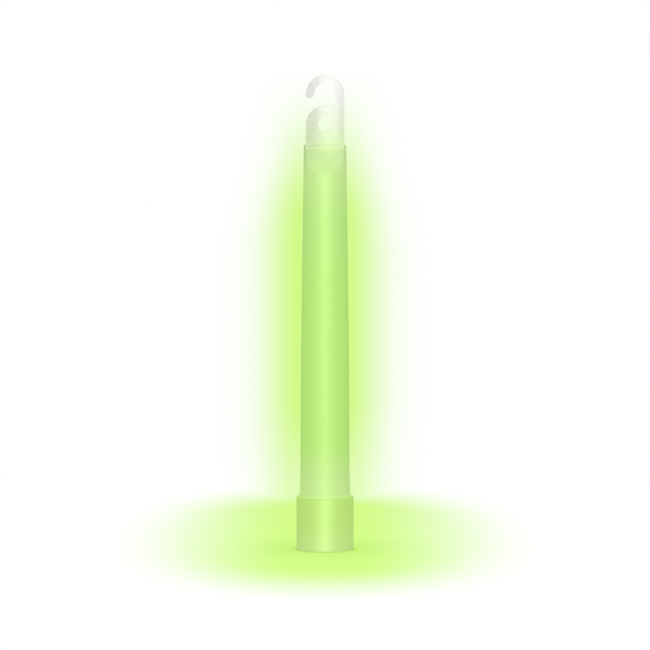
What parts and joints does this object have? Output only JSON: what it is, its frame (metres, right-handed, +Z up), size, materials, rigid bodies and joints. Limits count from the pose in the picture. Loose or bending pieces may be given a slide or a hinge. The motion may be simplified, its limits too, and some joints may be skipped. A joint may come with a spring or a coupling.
{
  "type": "chemical light stick",
  "caption": "Milky green-glowing light stick with a lanyard hole and hook at its narrow end, standing on a wide collar, with snapped glass ampoule and liquid inside.",
  "frame": {"origin": "middle of the foot, on the surface that the stick stands on", "axes": "+Z up the tube's axis to the hook; the hook and tab lie flat in the XZ plane, with the hook's mouth towards -X"},
  "size_m": [0.0182, 0.0182, 0.15],
  "materials": {
    "milky_tube": "milky translucent polyethylene, satin, lit green from inside",
    "cap_plastic": "translucent green-tinted polyethylene, satin",
    "stopper_plastic": "natural polyethylene, satin",
    "glowing_liquid": "clear yellow-green liquid that gives off light",
    "ampoule_glass": "thin clear glass with cracked edges"
  },
  "bodies": {
    "tube": {"outer_tube": "milky_tube", "base_cap": "cap_plastic", "sealing_plug": "stopper_plastic", "glow_liquid_ring": "glowing_liquid", "glass_chip_1": "ampoule_glass", "glass_chip_2": "ampoule_glass", "glass_chip_3": "ampoule_glass", "glass_chip_4": "ampoule_glass"},
    "glass_1": {"glass_length_1": "ampoule_glass", "glow_liquid_core": "glowing_liquid"},
    "glass_2": {"glass_length_2": "ampoule_glass"},
    "glass_3": {"glass_length_3": "ampoule_glass"},
    "glass_4": {"glass_length_4": "ampoule_glass"},
    "glass_5": {"glass_length_5": "ampoule_glass"}
  },
  "joints": [
    {"name": "glass_1_slide", "type": "slide", "parent": "tube", "child": "glass_1", "axis": [0, 0, 1], "range_m": [0, 0.003]},
    {"name": "glass_2_slide", "type": "slide", "parent": "glass_1", "child": "glass_2", "axis": [0, 0, 1], "range_m": [0, 0.001]},
    {"name": "glass_3_slide", "type": "slide", "parent": "glass_2", "child": "glass_3", "axis": [0, 0, 1], "range_m": [0, 0.001]},
    {"name": "glass_4_slide", "type": "slide", "parent": "glass_3", "child": "glass_4", "axis": [0, 0, 1], "range_m": [0, 0.001]},
    {"name": "glass_5_slide", "type": "slide", "parent": "glass_4", "child": "glass_5", "axis": [0, 0, 1], "range_m": [0, 0.001]}
  ]
}
